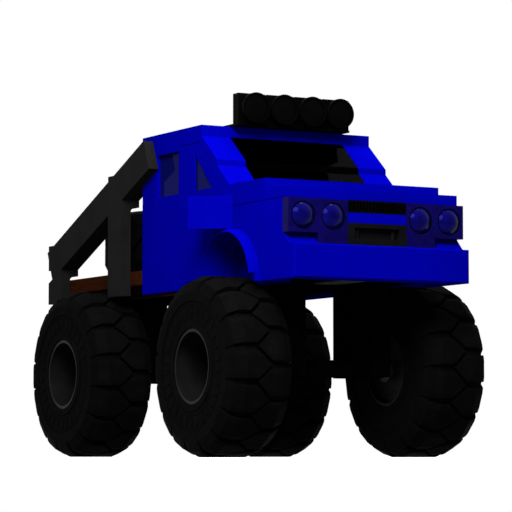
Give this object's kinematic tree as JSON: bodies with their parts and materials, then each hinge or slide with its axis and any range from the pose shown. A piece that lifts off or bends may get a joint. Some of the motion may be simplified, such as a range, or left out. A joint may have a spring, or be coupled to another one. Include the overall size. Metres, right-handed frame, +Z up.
{
  "type": "rock crawler",
  "caption": "Blue slab-sided rock crawler with a closed cab, timber deck, side racks and flat spare wheel on tall lugged tyres; steers, rolls and opens its hood and doors.",
  "frame": {"origin": "on the ground below the middle of the overall box", "axes": "+X forward, +Y to the vehicle's left, +Z up"},
  "size_m": [4.857, 2.64, 3.34],
  "materials": {
    "body_blue": "gloss",
    "frame_black": "satin",
    "rack_grey": "satin",
    "timber": "oiled boards",
    "tyre_rubber": "matt",
    "rim_steel": "gloss",
    "bare_steel": "machined",
    "window_glass": "dark tint",
    "lamp_lens": "tinted lens",
    "lamp_black": "moulded",
    "engine_iron": "as cast",
    "seat_vinyl": "grained",
    "cab_plastic": "grained"
  },
  "bodies": {
    "chassis": {"bench_seat": "seat_vinyl", "cab_floor": "body_blue", "cab_glass": "window_glass", "dashboard": "cab_plastic", "deck_bearers": "timber", "engine": "engine_iron", "fairlead": "rack_grey", "fender_left": "body_blue", "fender_right": "body_blue", "front_axle": "frame_black", "front_bumper": "body_blue", "grille": "lamp_black", "head_lamps": "lamp_lens", "ladder_frame": "frame_black", "lamp_tray": "lamp_black", "nose_panel": "body_blue", "quarter_panel_left": "body_blue", "quarter_panel_right": "body_blue", "rack_arm_left": "rack_grey", "rack_arm_right": "rack_grey", "rack_post_front_left": "rack_grey", "rack_post_front_right": "rack_grey", "rack_post_rear_left": "rack_grey", "rack_post_rear_right": "rack_grey", "rear_axle": "frame_black", "rear_wall": "body_blue", "roof": "body_blue", "roof_lamps": "lamp_black", "spare_rim": "rim_steel", "spare_tyre": "tyre_rubber", "steering_wheel": "cab_plastic", "timber_deck": "timber", "windscreen": "window_glass", "windscreen_post_left": "body_blue", "windscreen_post_right": "body_blue", "wing_mirrors": "body_blue"},
    "steer_right": {"steering_knuckle_right": "bare_steel"},
    "steer_left": {"steering_knuckle_left": "bare_steel"},
    "wheel_front_right": {"tyre_front_right": "tyre_rubber", "rim_front_right": "rim_steel"},
    "wheel_front_left": {"tyre_front_left": "tyre_rubber", "rim_front_left": "rim_steel"},
    "wheel_rear_right": {"tyre_rear_right": "tyre_rubber", "rim_rear_right": "rim_steel"},
    "wheel_rear_left": {"tyre_rear_left": "tyre_rubber", "rim_rear_left": "rim_steel"},
    "hood_lid": {"hood": "body_blue"},
    "door_leaf_right": {"door_right": "body_blue", "door_glass_right": "window_glass"},
    "door_leaf_left": {"door_left": "body_blue", "door_glass_left": "window_glass"}
  },
  "joints": [
    {"name": "steering_right", "type": "hinge", "parent": "chassis", "child": "steer_right", "pos_m": [1.3285, -0.62, 0.8], "axis": [0, 0, 1], "range_deg": [-20, 20]},
    {"name": "steering_left", "type": "hinge", "parent": "chassis", "child": "steer_left", "pos_m": [1.3285, 0.62, 0.8], "axis": [0, 0, 1], "range_deg": [-20, 20]},
    {"name": "spin_front_right", "type": "hinge", "parent": "steer_right", "child": "wheel_front_right", "pos_m": [1.3285, -1.005, 0.8], "axis": [0, 1, 0], "continuous": true},
    {"name": "spin_front_left", "type": "hinge", "parent": "steer_left", "child": "wheel_front_left", "pos_m": [1.3285, 1.005, 0.8], "axis": [0, 1, 0], "continuous": true},
    {"name": "spin_rear_right", "type": "hinge", "parent": "chassis", "child": "wheel_rear_right", "pos_m": [-1.3715, -1.005, 0.8], "axis": [0, 1, 0], "continuous": true},
    {"name": "spin_rear_left", "type": "hinge", "parent": "chassis", "child": "wheel_rear_left", "pos_m": [-1.3715, 1.005, 0.8], "axis": [0, 1, 0], "continuous": true},
    {"name": "hood_lift", "type": "hinge", "parent": "chassis", "child": "hood_lid", "pos_m": [1.2815, 0, 2.458], "axis": [0, -1, 0], "range_deg": [0, 60]},
    {"name": "door_right_swing", "type": "hinge", "parent": "chassis", "child": "door_leaf_right", "pos_m": [1.0015, -0.914, 2.2], "axis": [0, 0, 1], "range_deg": [0, 65]},
    {"name": "door_left_swing", "type": "hinge", "parent": "chassis", "child": "door_leaf_left", "pos_m": [1.0015, 0.914, 2.2], "axis": [0, 0, -1], "range_deg": [0, 65]}
  ],
  "couplings": [
    {"joint": "steering_left", "follows": "steering_right", "ratio": 1}
  ]
}
